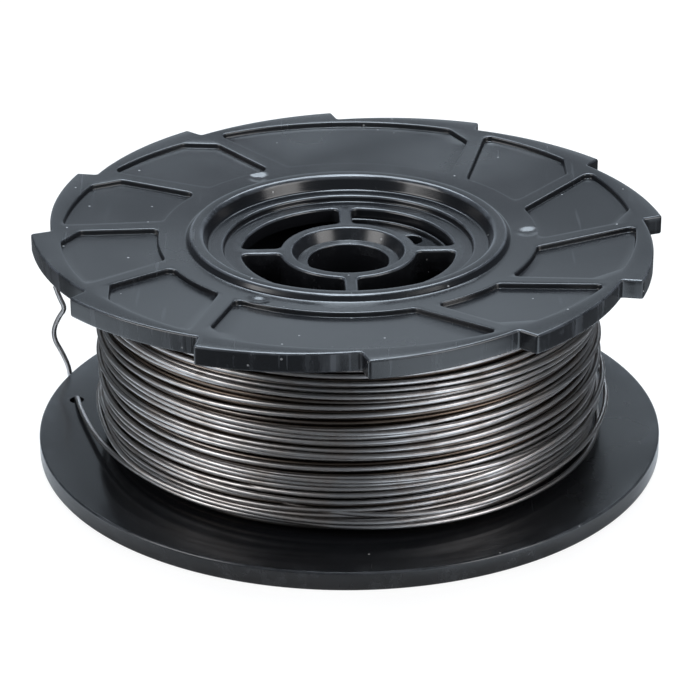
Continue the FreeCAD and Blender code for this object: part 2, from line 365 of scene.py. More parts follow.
@dataclass
class ReelShell:
    """Flanges, drum, collar and ledge of the moulded reel, as one closed surface.

    The upper flange's face is laid out in cells of one tooth pitch, each reaching from the
    middle of one rib to the middle of the next, with rings of points round its pocket.
    """

    height: float = 36.1
    flange_t: float = 3.0
    lower_r: float = 48.3
    tip_r: float = 48.0
    root_r: float = 45.0
    teeth: int = 12
    tip_azimuth: float = 3.3
    step_slant: float = 1.16
    tip_round: float = 0.4
    rim_round: float = 0.36
    dish_r: float = 44.5
    dish_depth: float = 1.8
    drum_r: float = 24.5
    drum_inner: float = 22.0
    collar_r: float = 24.0
    collar_foot: float = 24.7
    collar_drop: float = 0.85
    recess_r: float = 21.4
    ledge_drop: float = 3.1
    ledge_r: float = 19.0
    web_drop: float = 4.1
    web_t: float = 2.2
    web_inner: float = 17.6
    plate_inner: float = 28.0
    pocket_depth: float = 0.8
    pocket_outer: float = 43.5
    pocket_inner: float = 28.9
    pocket_corner: float = 1.0
    lead_outer: float = 28.9
    lead_inner: float = 19.2
    bevel_r: float = 40.6
    trail_bevel: float = 1.4
    trail_inner: float = -4.3
    bevel_start: float = 7.6
    rib_outer: float = 0.8
    rib_inner: float = -7.55
    cells: tuple[tuple[int, int], ...] = (
        (0, 1), (1, 1), (2, 2), (4, 1), (5, 1), (6, 1), (7, 1), (8, 2), (10, 1), (11, 1))
    dimple_at: float = 27.4
    dimple_r: float = 2.2
    dimple_depth: float = 0.38
    dimple_azimuths: tuple[float, ...] = (1.6, 121.6, 241.6)
    stub_r: float = 0.38
    stub_height: float = 0.12
    hole_at: float = 43.9
    hole_azimuth: float = 170.3
    hole_r: float = 1.15
    groove_w: float = 2.0
    groove_depth: float = 1.4
    rise_azimuth: float = 157.0
    rise_at: float = 49.3
    columns: int = 40
    side_points: int = 26
    wall: tuple[tuple[float, float, float], ...] = (
        (-0.25, 0.0, 0.0), (-0.16, 0.017, 0.15), (-0.08, 0.067, 0.35), (-0.02, 0.152, 0.35),
        (0.0, 0.25, 0.15), (0.05, 0.62, 0.0), (0.08, 0.71, 0.0), (0.13, 0.77, 0.0), (0.24, 0.8, 0.0))
    floor_rings: tuple[float, ...] = (0.82, 0.6, 0.36, 0.14, 0.0)

    @property
    def pitch(self) -> float:
        """Azimuth of one tooth or cell, degrees."""
        return 360 / self.teeth

    def dish(self, r: np.ndarray | float) -> np.ndarray | float:
        """Height of the upper flange's dished face: it falls in proportion to dish_r - r."""
        fall = np.clip(self.dish_r - r, 0, None) / (self.dish_r - self.collar_foot)
        return self.height - self.dish_depth * fall

    def inner_columns(self) -> np.ndarray:
        """Azimuths of one cell's columns at the plate's inner circle, evenly spaced."""
        return self.rib_inner + np.arange(self.columns) * self.pitch / self.columns

    def step_places(self) -> tuple[np.ndarray, np.ndarray]:
        """Places of the columns that run over one tooth's step.

        Returns:
            Lengths along the outline from the tooth's tip, and azimuths on the dish circle.
        """
        step = self.step_length()
        root = np.array([-0.35, -0.12, 0.1, 0.35]) - step
        middle = np.array([-0.62, -0.38]) * step
        tip = np.array([-0.4, -0.26, -0.13, 0.0, 0.13, 0.26, 0.42])
        place = np.concatenate([root, middle, tip])
        return place, np.linspace(self.tip_azimuth - 1.35, self.tip_azimuth + 0.35, len(place))

    def step_length(self) -> float:
        """Length of the straight step from a tooth's root to the next tip."""
        foot = polar(self.root_r, -self.step_slant, 0.0)
        return float(np.linalg.norm(polar(self.tip_r, 0.0, 0.0) - foot))

    def outline(self) -> tuple[ClosedPath, np.ndarray, np.ndarray]:
        """Toothed outline and the columns that follow it.

        Between tip and root the radius falls in proportion to the azimuth, then the outline
        steps straight out to the next tip.

        Returns:
            The path, each column's place on it, and each column's azimuth on the dish circle.
        """
        sides = []
        for k in range(self.teeth):
            tip = self.tip_azimuth + k * self.pitch
            azimuth = np.linspace(tip, tip + self.pitch - self.step_slant, 60)
            radius = np.linspace(self.tip_r, self.root_r, 60)
            ramp = polar(radius, azimuth, 0.0)[:, :2]
            crest = polar(self.tip_r, tip + self.pitch, 0.0)[None, :2]
            sides += [ramp, straight(ramp[-1], crest[0])]
        path = ClosedPath(sides, self.tip_round)
        period = path.length / self.teeth
        ramp_length = period - self.step_length()
        step_place, step_azimuth = self.step_places()
        before = np.linspace(self.rib_outer, step_azimuth[0], 4)[:-1]
        after_count = self.columns - len(before) - len(step_azimuth)
        after = np.linspace(step_azimuth[-1], self.rib_outer + self.pitch, after_count + 1)[1:]
        after = after - (after[1] - after[0]) * 0.5
        swing = self.pitch - self.step_slant
        place = np.concatenate([
            (before - self.tip_azimuth + self.pitch) / swing * ramp_length - period,
            step_place,
            (after - self.tip_azimuth) / swing * ramp_length])
        azimuth = np.concatenate([before, step_azimuth, after])
        turns = np.arange(self.teeth)[:, None]
        return path, (place + turns * period).ravel(), (azimuth + turns * self.pitch).ravel()

    def pocket_path(self, count: int) -> ClosedPath:
        """Rounded outline of a pocket that spans some cells, in the first cell's azimuths."""
        last = (count - 1) * self.pitch
        trail_in = round_row(self.pocket_inner, self.trail_inner, self.trail_inner, 1)[0]
        bevel_in = round_row(self.bevel_r, self.trail_bevel, self.trail_bevel, 1)[0]
        outer = round_row(self.pocket_outer, self.bevel_start, last + self.lead_outer, 120 * count)
        inner = round_row(self.pocket_inner, last + self.lead_inner, self.trail_inner, 120 * count)
        return ClosedPath([
            straight(bevel_in, outer[0]),
            outer,
            straight(outer[-1], inner[0]),
            inner,
            straight(trail_in, bevel_in)], self.pocket_corner)

    def pocket_places(self, path: ClosedPath, count: int) -> np.ndarray:
        """Places round a pocket's outline: outer side with bevel, leading wall, inner, trailing."""
        near = 1.3
        outer_count = self.columns * count
        spans = path.ends - path.corners
        bevel_count = 13
        bevel = bunched(bevel_count, spans[0], near, 0.38)
        outer = bunched(outer_count - bevel_count, spans[1], near, 0.2 / count)
        lead = bunched(self.side_points, spans[2], near, 0.27)
        inner = bunched(outer_count, spans[3], near, 0.17 / count)
        trail = bunched(self.side_points, spans[4], near, 0.27)
        return np.concatenate([path.side(0, bevel), path.side(1, outer), path.side(2, lead),
                               path.side(3, inner), path.side(4, trail)])

    def cell_border(self, count: int, outer: np.ndarray) -> np.ndarray:
        """Border of a pocket's cells in the same order as its places.

        Args:
            count: number of cells.
            outer: azimuths of the columns on the dish circle.

        Returns:
            Points of the plane: outer circle, leading rib, inner circle backwards, trailing rib.
        """
        span = count * self.pitch
        top = polar(self.dish_r, outer, 0.0)[:, :2]
        inner_azimuth = np.concatenate([self.inner_columns() + k * self.pitch for k in range(count)])
        inner_azimuth = np.concatenate([inner_azimuth, [self.rib_inner + span]])[::-1][:-1]
        bottom = polar(self.plate_inner, inner_azimuth, 0.0)[:, :2]
        rib_top = polar(self.dish_r, outer[0], 0.0)[:2]
        rib_foot = polar(self.plate_inner, self.rib_inner, 0.0)[:2]
        side = rib_top + (rib_foot - rib_top) * (np.arange(self.side_points) / self.side_points)[:, None]
        turn = math.radians(span)
        spin = np.array([[math.cos(turn), math.sin(turn)], [-math.sin(turn), math.cos(turn)]])
        lead = side @ spin
        share = (np.arange(self.side_points) / self.side_points)[:, None]
        trail = rib_foot + (rib_top - rib_foot) * share
        return np.concatenate([top, lead, bottom, trail])

    def add_pocket(self, surface: Surface, cell: int, count: int, outer: np.ndarray) -> None:
        """Adds one pocket with the plate round it.

        Rings run from the cells' border to the pocket's edge, down its wall and over its floor
        to the middle. Wall rings are the outline moved along its normals; floor rings shrink
        towards the middle in radius and azimuth.

        Args:
            surface: takes the patch.
            cell: index of the first cell.
            count: number of cells.
            outer: azimuths of the first cells' columns on the dish circle.
        """
        path = self.pocket_path(count)
        places = self.pocket_places(path, count)
        edge, normal = path.at(places), path.outward(places)
        border = self.cell_border(count, outer)
        brim = edge - normal * self.wall[0][0]
        rows, edge_share = [], []
        for share in (0.0, 0.5):
            flat = border + (brim - border) * share
            rows.append(with_height(flat, self.dish(np.linalg.norm(flat, axis=1))))
            edge_share.append(0.0)
        for inset, drop, wear_highlight in self.wall:
            flat = edge - normal * inset
            rows.append(with_height(flat, self.dish(np.linalg.norm(flat, axis=1)) - drop))
            edge_share.append(wear_highlight)
        floor = rows[-1]
        radius, azimuth = np.linalg.norm(floor[:, :2], axis=1), np.degrees(np.arctan2(floor[:, 1], floor[:, 0]))
        middle_r = (self.pocket_outer + self.pocket_inner) / 2
        middle_a = (self.lead_inner + self.trail_bevel + self.trail_inner + self.lead_outer) / 4
        middle_a += (count - 1) * self.pitch / 2
        azimuth = middle_a + np.mod(azimuth - middle_a + 180, 360) - 180
        for share in self.floor_rings:
            r = middle_r + (radius - middle_r) * share
            a = middle_a + (azimuth - middle_a) * share
            rows.append(polar(r, a, self.dish(r) - self.pocket_depth))
            edge_share.append(0.0)
        grid = np.stack(rows)
        turn = math.radians(cell * self.pitch)
        spin = np.array([[math.cos(turn), math.sin(turn), 0], [-math.sin(turn), math.cos(turn), 0], [0, 0, 1]])
        surface.add(grid @ spin, np.array(edge_share), closed=True)

    def add_rim(self, surface: Surface, path: ClosedPath, places: np.ndarray, azimuths: np.ndarray) -> None:
        """Adds the toothed rim: the outline moved inward over rounded top and bottom edges.

        Args:
            surface: takes the patch.
            path: toothed outline.
            places: place of each column on the outline.
            azimuths: azimuth of each column on the dish circle.
        """
        edge, normal = path.at(places), path.outward(places)
        base = self.height - self.flange_t
        circle = polar(self.dish_r, azimuths, 0.0)[:, :2]
        brim = edge - normal * self.rim_round
        angles = np.linspace(0, math.pi / 2, 5)
        rows, edge_share = [], []
        for share in (0.0, 0.5):
            rows.append(with_height(circle + (brim - circle) * share, self.height))
            edge_share.append(0.0)
        for angle in angles:
            inset = self.rim_round * (1 - math.sin(angle))
            rows.append(with_height(edge - normal * inset, self.height - self.rim_round * (1 - math.cos(angle))))
            edge_share.append(math.sin(2 * angle))
        for share in (0.25, 0.5, 0.75):
            drop = self.rim_round + share * (self.flange_t - 2 * self.rim_round)
            rows.append(with_height(edge, self.height - drop))
            edge_share.append(0.0)
        for angle in angles[::-1]:
            inset = self.rim_round * (1 - math.sin(angle))
            rows.append(with_height(edge - normal * inset, base + self.rim_round * (1 - math.cos(angle))))
            edge_share.append(math.sin(2 * angle))
        for share in (0.5, 0.0):
            rows.append(with_height(circle + (brim - circle) * share, base))
            edge_share.append(0.0)
        surface.add(np.stack(rows), np.array(edge_share), closed=True)

    def add_body(self, surface: Surface, azimuths: np.ndarray) -> None:
        """Adds all that is turned, from the plate's inner circle down and round to the rim's foot.

        Every column keeps its azimuth, except under the upper flange, where it moves in
        proportion to the radius from the inner columns to the rim's.

        Args:
            surface: takes the patch.
            azimuths: azimuth of each column on the dish circle.
        """
        top = self.height
        web = top - self.web_drop
        base = top - self.flange_t
        ceiling = base - self.dish_depth
        soft, edge = 0.3, 0.25
        section, edge_share = half_section([
            Bend(self.plate_inner, float(self.dish(self.plate_inner)), step=0.3),
            Bend(self.collar_foot, float(self.dish(self.collar_foot)), 0.5),
            Bend(self.collar_r, top - self.collar_drop, 0.7),
            Bend(self.drum_inner, top - self.collar_drop, 0.9),
            Bend(self.recess_r, top - self.ledge_drop, 0.5),
            Bend(self.ledge_r, top - self.ledge_drop, 0.4),
            Bend(self.ledge_r, web, 0.35),
            Bend(self.web_inner, web),
            Bend(self.web_inner, web - self.web_t),
            Bend(self.drum_inner, web - self.web_t, soft),
            Bend(self.drum_inner, 0, edge),
            Bend(self.lower_r, 0, 0.35),
            Bend(self.lower_r, self.flange_t, 0.35),
            Bend(self.drum_r, self.flange_t, soft),
            Bend(self.drum_r, ceiling, soft, step=12.0),
            Bend(self.dish_r, base)])
        inner = np.concatenate([self.inner_columns() + k * self.pitch for k in range(self.teeth)])
        corner = int(np.argmax(section[:, 1] * (section[:, 0] < self.drum_r + 1e-6)
                               * (np.arange(len(section)) > len(section) // 2)))
        blend = np.zeros(len(section))
        blend[corner:] = (section[corner:, 0] - section[corner, 0]) / (self.dish_r - section[corner, 0])
        azimuth = inner[None] + blend[:, None] * (azimuths - inner)[None]
        surface.add(polar(section[:, :1], azimuth, section[:, 1:]), edge_share, closed=True)

    def press_dimples(self, surface: Surface) -> None:
        """Lowers the plate within each gate mark's radius R, and leaves the gate's stub.

        At a distance d from its middle the mark is depth * (1 + cos(pi d / R)) / 2 deep, less a
        stub of height stub * exp(-(d / stub radius) squared).
        """
        for rows in surface.points:
            for azimuth in self.dimple_azimuths:
                centre = polar(self.dimple_at, azimuth, 0.0)
                away = np.linalg.norm(rows[:, :2] - centre[:2], axis=1)
                radius = np.linalg.norm(rows[:, :2], axis=1)
                depth = self.dimple_depth * (1 + np.cos(math.pi * np.clip(away / self.dimple_r, 0, 1))) / 2
                bowl = self.dish(radius) - depth
                pressed = (away < self.dimple_r) & (rows[:, 2] > self.height - 2.6)
                rows[pressed, 2] = np.minimum(rows[pressed, 2], bowl[pressed])
                stub = self.stub_height * np.exp(-(away / self.stub_r) ** 2)
                rows[pressed, 2] += stub[pressed]

    def passage(self) -> bpy.types.Object:
        """Cutter for the wire's hole through the lower flange and the groove under it.

        The groove is a round-topped channel: a stadium section carried along the straight way
        from the hole to beyond the rim.

        Returns:
            A closed mesh object.
        """
        cutter = Surface()
        hole = polar(self.hole_at, self.hole_azimuth, 0.0)[:2]
        away = polar(self.rise_at + 1.5, self.rise_azimuth, 0.0)[:2]
        angle = np.arange(32) * 2 * math.pi / 32
        ring = hole + self.hole_r * np.stack([np.cos(angle), np.sin(angle)], axis=-1)
        shaft = np.stack([with_height(ring, z) for z in (-1.0, self.flange_t + 1.0)])
        cutter.add(shaft, closed=True)
        cutter.lid(shaft[0])
        cutter.lid(shaft[1])
        heading = (away - hole) / np.linalg.norm(away - hole)
        across = np.array([-heading[1], heading[0]])
        sweep = np.linspace(0, math.pi, 13)
        side = self.groove_w / 2 * np.concatenate([np.cos(sweep), [-1.0, 1.0]])
        rise = np.concatenate([self.groove_depth - 0.6 + 0.6 * np.sin(sweep), [-1.0, -1.0]])
        ends = [hole + across * side[:, None] + heading * run for run in (0.0, np.linalg.norm(away - hole))]
        channel = np.stack([with_height(end, rise) for end in ends])
        groove = Surface()
        groove.add(channel, closed=True)
        groove.lid(channel[0])
        groove.lid(channel[1])
        return join([cutter.build("passage_shaft"), groove.build("passage_groove")])

    def build(self) -> bpy.types.Object:
        """Makes the shell and cuts the wire's passage."""
        surface = Surface()
        path, places, azimuths = self.outline()
        for cell, count in self.cells:
            first = azimuths[:self.columns * count]
            self.add_pocket(surface, cell, count, first)
        self.add_rim(surface, path, places, azimuths)
        self.add_body(surface, azimuths)
        self.press_dimples(surface)
        shell = surface.build("reel_shell")
        cutter = self.passage()
        cut = shell.modifiers.new("passage", "BOOLEAN")
        cut.operation = "DIFFERENCE"
        cut.solver = "EXACT"
        cut.use_self = True
        cut.object = cutter
        apply_modifiers(shell)
        bpy.data.objects.remove(cutter)
        shell.data.set_sharp_from_angle(angle=math.radians(40))
        return shell


@dataclass
class ReelHub:
    """Hub tube, spoked web, ribs and anchor web inside the drum."""

    bore_r: float = 6.2
    hub_r: float = 10.4
    seat_r: float = 8.6
    seat_floor_r: float = 7.7
    seat_depth: float = 1.8
    hub_lift: float = 1.2
    web_top: float = 32.0
    web_t: float = 2.2
    web_inner: float = 9.4
    web_outer: float = 17.6
    slot_r: float = 16.3
    slot_corner: float = 1.1
    spokes: int = 4
    spoke_w: float = 2.0
    spoke_azimuth: float = 1.9
    rib_lift: float = 2.4
    rib_end: float = 22.2
    anchor_top: float = 29.9
    anchor_t: float = 1.6
    anchor_r: float = 15.9
    lip_w: float = 0.7
    lip_h: float = 0.7
    hole_r: float = 1.7
    hole_at: float = 13.0
    hole_azimuth: float = 41.0
    columns: int = 56
    side_points: int = 16

    def add_tube(self, surface: Surface) -> None:
        """Adds the hub tube with its conical seat, a turned section."""
        under = self.web_top - self.web_t
        turned(surface, [
            Bend(self.bore_r, self.hub_lift + 0.6),
            Bend(self.bore_r, self.hub_lift, 0.25),
            Bend(self.hub_r, self.hub_lift, 0.25),
            Bend(self.hub_r, under),
            Bend(self.web_inner, under),
            Bend(self.web_inner, self.web_top),
            Bend(self.seat_r, self.web_top, 0.4),
            Bend(self.seat_floor_r, self.web_top - self.seat_depth, 0.15),
            Bend(self.bore_r, self.web_top - self.seat_depth, 0.2),
            Bend(self.bore_r, self.hub_lift + 0.6)], 128)

    def slot_path(self, inner: float, outer: float, corner: float, gap: float) -> ClosedPath:
        """Rounded kidney outline between two spokes.

        Args:
            inner: inner radius, mm.
            outer: outer radius, mm.
            corner: corner radius, mm.
            gap: half width left beside each spoke's middle line, mm.
        """
        pitch = 360 / self.spokes
        out_half = math.degrees(math.asin(gap / outer))
        in_half = math.degrees(math.asin(gap / inner))
        far = round_row(outer, out_half, pitch - out_half)
        near = round_row(inner, pitch - in_half, in_half)
        return ClosedPath([far, straight(far[-1], near[0]), near, straight(near[-1], far[0])], corner)

    def round_places(self, path: ClosedPath, near: float) -> np.ndarray:
        """Places round a kidney outline, closer together at its corners."""
        spans = path.ends - path.corners
        counts = (self.columns, self.side_points, self.columns, self.side_points)
        shares = (0.16, 0.36, 0.2, 0.36)
        return np.concatenate([path.side(k, bunched(n, spans[k], near, share))
                               for k, (n, share) in enumerate(zip(counts, shares))])

    def cell_border(self) -> np.ndarray:
        """Border of one spoke pitch: outer circle, spoke's middle line, inner circle, middle line."""
        pitch = 360 / self.spokes
        share = np.arange(self.columns) / self.columns
        run = np.arange(self.side_points) / self.side_points
        reach = self.web_outer + (self.web_inner - self.web_outer) * run
        return np.concatenate([
            polar(self.web_outer, share * pitch, 0.0),
            polar(reach, pitch, 0.0),
            polar(self.web_inner, pitch * (1 - share), 0.0),
            polar(reach[::-1] + (self.web_inner - self.web_outer) * (run[0] - run[1]) * -1, 0.0, 0.0)])[:, :2]

    def add_spokes(self, surface: Surface, turn: float) -> None:
        """Adds one pitch of the web round its slot.

        Rings run over the top from the cell's border to the slot's rounded edge, down the
        slot's wall, back under the web to the border and up again.

        Args:
            surface: takes the patch.
            turn: azimuth of the cell's start, degrees.
        """
        path = self.slot_path(self.hub_r, self.slot_r, self.slot_corner, self.spoke_w / 2)
        places = self.round_places(path, 1.3)
        edge, normal = path.at(places), path.outward(places)
        border = self.cell_border()
        under = self.web_top - self.web_t
        soft = 0.4
        rows = [with_height(border, self.web_top)]
        edge_share = [0.3]
        for angle in np.linspace(0, math.pi / 2, 5):
            flat = edge + normal * soft * (1 - math.sin(angle))
            rows.append(with_height(flat, self.web_top - soft * (1 - math.cos(angle))))
            edge_share.append(math.sin(2 * angle))
        rows += [with_height(edge, under), with_height(border, under), with_height(border, self.web_top)]
        edge_share += [0.0, 0.0, 0.0]
        surface.add(rotated(np.stack(rows), turn), np.array(edge_share), closed=True)

    def add_rib(self, surface: Surface, turn: float) -> None:
        """Adds one rib: a plate section with rounded lower edges, carried out from the hub."""
        half, soft = self.spoke_w / 2, 0.3
        top = self.web_top - self.web_t + 0.1
        angles = np.linspace(0, math.pi / 2, 5)
        right = np.stack([half - soft + soft * np.sin(angles), self.rib_lift + soft * (1 - np.cos(angles))], axis=-1)
        left = right[::-1] * np.array([-1.0, 1.0])
        section = np.concatenate([right, [[half, top], [-half, top]], left])
        reach = np.linspace(self.hub_r - 0.3, self.rib_end, 6)
        grid = np.stack([np.stack([np.full(len(section), r), section[:, 0], section[:, 1]], axis=-1)
                         for r in reach])
        grid = rotated(grid, turn)
        surface.add(grid, closed=True)
        surface.lid(grid[0])
        surface.lid(grid[-1])

    def add_anchor(self, surface: Surface) -> None:
        """Adds the recessed floor in one slot with its tie hole, and the lip along its edge.

        The floor's rings run from its kidney outline to the round hole, down the hole's wall
        and back underneath.
        """
        path = self.slot_path(self.hub_r - 0.3, self.anchor_r - self.lip_w + 0.05, 0.4, self.spoke_w / 2 - 0.1)
        places = self.round_places(path, 0.8)
        border = path.at(places)
        centre = polar(self.hole_at, self.hole_azimuth - self.spoke_azimuth, 0.0)[:2]
        lean = border - centre
        ring = centre + self.hole_r * lean / np.linalg.norm(lean, axis=1, keepdims=True)
        base = self.anchor_top - self.anchor_t
        soft = 0.2
        out = (ring - centre) / self.hole_r
        rows = [with_height(border, self.anchor_top)]
        edge_share = [0.0]
        for angle in np.linspace(0, math.pi / 2, 4):
            flat = ring + out * soft * (1 - math.sin(angle))
            rows.append(with_height(flat, self.anchor_top - soft * (1 - math.cos(angle))))
            edge_share.append(math.sin(2 * angle))
        rows += [with_height(ring, base), with_height(border, base), with_height(border, self.anchor_top)]
        edge_share += [0.0, 0.0, 0.0]
        surface.add(rotated(np.stack(rows), self.spoke_azimuth), np.array(edge_share), closed=True)
        self.add_lip(surface, base)

    def add_lip(self, surface: Surface, base: float) -> None:
        """Adds the lip: a round-topped upright section carried along an arc."""
        top = self.anchor_top + self.lip_h
        inner, outer = self.anchor_r - self.lip_w, self.anchor_r
        middle, half = (inner + outer) / 2, self.lip_w / 2
        sweep = np.linspace(0, math.pi, 9)
        across = np.concatenate([[inner, outer], middle + half * np.cos(sweep)])
        rise = np.concatenate([[base, base], top - half + half * np.sin(sweep)])
        margin = math.degrees(math.asin((self.spoke_w / 2 - 0.1) / inner))
        azimuth = np.linspace(margin, 360 / self.spokes - margin, 48)
        grid = polar(across[None], azimuth[:, None], rise[None])
        grid = rotated(grid, self.spoke_azimuth)
        surface.add(grid, closed=True)
        surface.lid(grid[0])
        surface.lid(grid[-1])

    def build(self) -> list[bpy.types.Object]:
        """Makes the tube, the spoked web, the ribs and the anchor web."""
        hub, web, ribs, anchor = Surface(), Surface(), Surface(), Surface()
        self.add_tube(hub)
        pitch = 360 / self.spokes
        for k in range(self.spokes):
            turn = self.spoke_azimuth + k * pitch
            self.add_rib(ribs, turn)
        made = [hub.build("reel_hub_tube"), ribs.build("reel_ribs")]
        for k in range(self.spokes):
            spoke = Surface()
            self.add_spokes(spoke, self.spoke_azimuth + k * pitch)
            made.append(spoke.build(f"reel_web_{k + 1}"))
        floor = Surface()
        self.add_anchor(floor)
        made.append(floor.build("reel_anchor_web"))
        return made


def rotated(grid: np.ndarray, degrees: float) -> np.ndarray:
    """Points turned about the reel's axis."""
    turn = math.radians(degrees)
    spin = np.array([[math.cos(turn), math.sin(turn), 0], [-math.sin(turn), math.cos(turn), 0], [0, 0, 1]])
    return grid @ spin


def apply_modifiers(piece: bpy.types.Object) -> None:
    """Puts the evaluated mesh in place of the piece's own and drops its modifiers."""
    graph = bpy.context.evaluated_depsgraph_get()
    mesh = bpy.data.meshes.new_from_object(piece.evaluated_get(graph))
    piece.modifiers.clear()
    piece.data = mesh


def join(parts: Sequence[bpy.types.Object]) -> bpy.types.Object:
    """Joins meshes into the first one's object.

    Args:
        parts: objects whose meshes are at their place.

    Returns:
        The first object, holding all.
    """
    work = bmesh.new()
    for part in parts:
        work.from_mesh(part.data)
    work.to_mesh(parts[0].data)
    work.free()
    for part in parts[1:]:
        bpy.data.objects.remove(part)
    return parts[0]


# Wire


@dataclass(frozen=True)
class Layer:
    """One layer of turns and the way it wanders.

    Attributes:
        name: piece name.
        radius: distance of the wire's middle from the axis, mm.
        heights: height of each turn where it passes the front, mm.
        sway: how far turns wander up and down, mm.
        swell: how far they wander in and out, mm.
        hand: 1 where the turns fall clockwise seen from above, -1 the other way.
        sides: points round the wire.
    """

    name: str
    radius: float
    heights: tuple[float, ...]
    sway: float
    swell: float
    hand: int = 1
    sides: int = 8


def smooth_line(corners: np.ndarray, per_run: int = 14) -> np.ndarray:
    """Cubic B-spline through the middle of a row of corners, which starts and ends at the end ones.

    Args:
        corners: control points of shape (n, k).
        per_run: points on each run.

    Returns:
        Points of shape (m, k).
    """
    padded = np.concatenate([corners[:1], corners[:1], corners, corners[-1:], corners[-1:]])
    t = np.linspace(0, len(padded) - 3, (len(padded) - 3) * per_run + 1)[:-1]
    k, u = np.floor(t).astype(int), (t % 1)[:, None]
    weights = ((1 - u) ** 3, 3 * u ** 3 - 6 * u ** 2 + 4, -3 * u ** 3 + 3 * u ** 2 + 3 * u + 1, u ** 3)
    return sum(w * padded[k + j] for j, w in enumerate(weights)) / 6


@dataclass
class Winding:
    """The wound wire: crossing outer turns over close under-turns, loose turns and a core, which the steel's painted
    shade makes dark.
    """

    wire_r: float = 0.4
    drum_r: float = 24.65
    core_r: float = 35.9
    floor_z: float = 3.15
    rim_z: float = 33.1
    dish_slope: float = 0.09
    dish_r: float = 44.5
    close_r: float = 36.95
    close_pitch: float = 0.84
    front: float = 270.0
    steps: int = 150
    middle: Layer = Layer("wire_turns_middle", 37.75, (
        31.7, 30.8, 29.9, 28.85, 27.6, 26.5, 25.6, 23.8, 22.55, 20.3, 19.2, 18.25, 16.9, 15.65, 14.05,
        12.7, 11.6, 10.8, 9.7, 8.5, 7.35, 6.5, 5.7, 4.9), 0.24, 0.08)
    upper: Layer = Layer("wire_turns_upper", 38.4, (
        30.4, 25.85, 20.0, 16.3, 12.4, 8.9), 0.5, 0.05, -1)
    loose: tuple[tuple[tuple[float, float, float], ...], ...] = (
        ((37.6, 110, 9.9), (38.2, 140, 9.6), (38.6, 165, 9.2), (38.8, 185, 9.0), (39.1, 198, 8.8),
         (39.8, 209, 8.0), (39.9, 219, 7.2), (39.4, 231, 6.8), (39.2, 245, 6.7), (39.1, 261, 6.2),
         (39.0, 280, 5.7), (38.8, 300, 5.8), (38.0, 320, 6.3), (37.0, 340, 7.0)),
        ((36.8, 405, 11.6), (38.2, 388, 10.7), (39.3, 372, 10.0), (39.9, 356, 9.3), (39.9, 343, 8.5),
         (39.6, 331, 7.6), (39.3, 318, 7.1), (39.1, 304, 6.5), (38.8, 288, 6.3), (38.0, 270, 6.9),
         (37.0, 255, 7.6)),
        ((37.0, 400, 14.6), (38.4, 375, 14.0), (39.2, 357, 13.4), (39.4, 343, 12.9), (39.3, 330, 12.3),
         (39.1, 316, 11.6), (39.0, 302, 11.0), (38.7, 285, 10.3), (38.2, 265, 9.9), (37.2, 245, 9.6)),
        ((38.95, 267, 5.35), (39.05, 277, 5.05), (39.15, 292, 4.85), (39.0, 315, 4.65), (38.8, 345, 4.6),
         (38.6, 380, 4.55), (38.4, 415, 4.6), (37.8, 450, 4.9), (37.0, 480, 5.3)))

    def ceiling(self, r: np.ndarray | float) -> np.ndarray | float:
        """Upper flange's inner face less a wire's radius, at a radius."""
        return self.rim_z - self.dish_slope * (self.dish_r - r) - self.wire_r - 0.1

    def helix(self, layer: Layer, rng: np.random.Generator) -> np.ndarray:
        """Line of a layer's wire.

        Between its heights at the front the wire falls evenly over each turn, and half a level
        turn at either end brings it to the back. Onto that come
        waves sway / m * sin(k h + m a + p) of the even height h and the azimuth a, less their
        value at the front, for m of 1, 2 and 3, so that neighbours close up and part together.
        The radius has like waves of its own.

        Args:
            layer: the layer.
            rng: source of the waves' lengths and phases.

        Returns:
            Points of shape (n, 3).
        """
        turns = len(layer.heights) - 1
        t = np.linspace(-0.5, turns + 0.5, (turns + 1) * self.steps + 1)
        level = np.interp(t, np.arange(turns + 1), layer.heights)
        angle = math.radians(self.front) - 2 * math.pi * t * layer.hand
        z, r = level.copy(), np.full_like(t, layer.radius)
        for m in (1, 2, 3):
            k = 2 * math.pi / rng.uniform(7.0, 14.0)
            phase, other = rng.uniform(0, 2 * math.pi, 2)
            wave = np.sin(k * level + m * angle + phase)
            rest = np.sin(k * level + m * math.radians(self.front) + phase)
            z += layer.sway / m * (wave - rest)
            r += layer.swell * np.sin(1.7 * k * level + (m + 1) * angle + other)
        z = np.clip(z, self.floor_z + self.wire_r + 0.02, self.ceiling(r))
        return np.stack([r * np.cos(angle), r * np.sin(angle), z], axis=-1)

    def build_layer(self, layer: Layer, rng: np.random.Generator) -> bpy.types.Object:
        """Makes one layer of turns as a tube along its line."""
        surface = Surface()
        tube(surface, self.helix(layer, rng), self.wire_r, layer.sides)
        return surface.build(layer.name, sharp=80)

    def build_close(self, rng: np.random.Generator) -> bpy.types.Object:
        """Makes the close under-turns that show in the gaps."""
        low = self.floor_z + self.wire_r + 0.05
        high = float(self.ceiling(self.close_r))
        heights = np.arange(high, low, -self.close_pitch)
        layer = Layer("wire_turns_close", self.close_r, tuple(heights.tolist()), 0.1, 0.07, sides=6)
        return self.build_layer(layer, rng)

    def build_loose(self) -> bpy.types.Object:
        """Makes the loose turns that stand off the winding, smooth lines through listed places."""
        surface = Surface()
        for turn in self.loose:
            places = smooth_line(np.array(turn))
            tube(surface, polar(places[:, 0], places[:, 1], places[:, 2]), self.wire_r, 10)
        return surface.build("wire_turns_loose", sharp=80)

